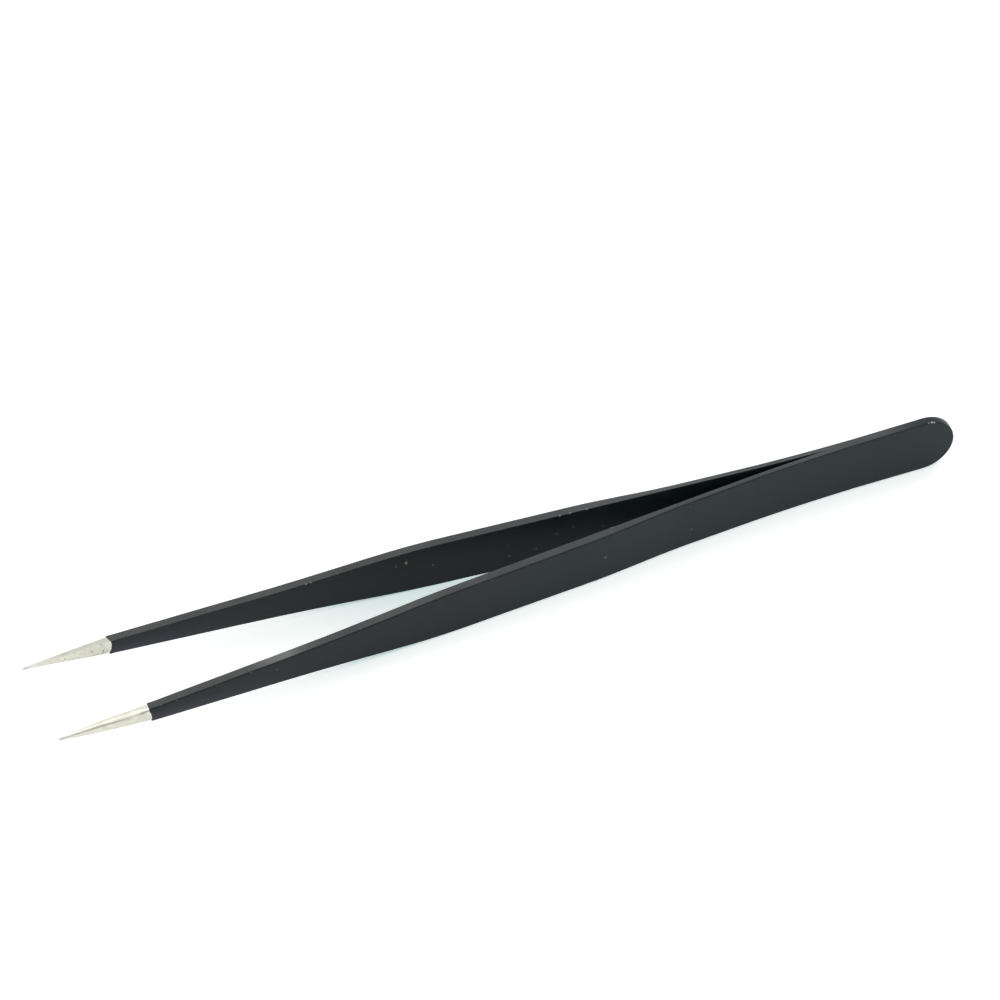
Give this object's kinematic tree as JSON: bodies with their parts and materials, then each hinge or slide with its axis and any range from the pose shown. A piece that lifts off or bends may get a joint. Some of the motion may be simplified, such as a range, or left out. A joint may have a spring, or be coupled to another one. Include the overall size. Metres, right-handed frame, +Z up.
{
  "type": "precision tweezers",
  "caption": "Long fine-point tweezers: sprung steel leaves welded at the heel, black epoxy coat, bare ground points.",
  "frame": {"origin": "bottom centre of the tool's bounding box: half way along its length, on its middle plane, on the surface that it lies on", "axes": "+X along the tool from the points to the heel; +Y from the near arm to the far arm; +Z up, across the width of the leaves, which stand on their narrow edges"},
  "size_m": [0.14, 0.0156, 0.0094],
  "materials": {
    "spring_steel": "ground, fine lengthwise streaks",
    "weld_steel": "as welded, dull",
    "epoxy_coat": "satin black, slightly uneven dipped epoxy"
  },
  "bodies": {
    "heel": {"near_tang": "spring_steel", "far_tang": "spring_steel", "weld_nuggets": "weld_steel", "heel_coat": "epoxy_coat"},
    "near_arm": {"near_blade": "spring_steel", "near_coat": "epoxy_coat"},
    "far_arm": {"far_blade": "spring_steel", "far_coat": "epoxy_coat"}
  },
  "joints": [
    {"name": "near_flex", "type": "hinge", "parent": "heel", "child": "near_arm", "pos_m": [0.04, -0.00084, 0.0047], "axis": [0, 0, -1], "range_deg": [0, 3.69], "stiffness_Nm_per_rad": 0.98},
    {"name": "far_flex", "type": "hinge", "parent": "heel", "child": "far_arm", "pos_m": [0.04, 0.00084, 0.0047], "axis": [0, 0, 1], "range_deg": [0, 3.69], "stiffness_Nm_per_rad": 0.98}
  ]
}
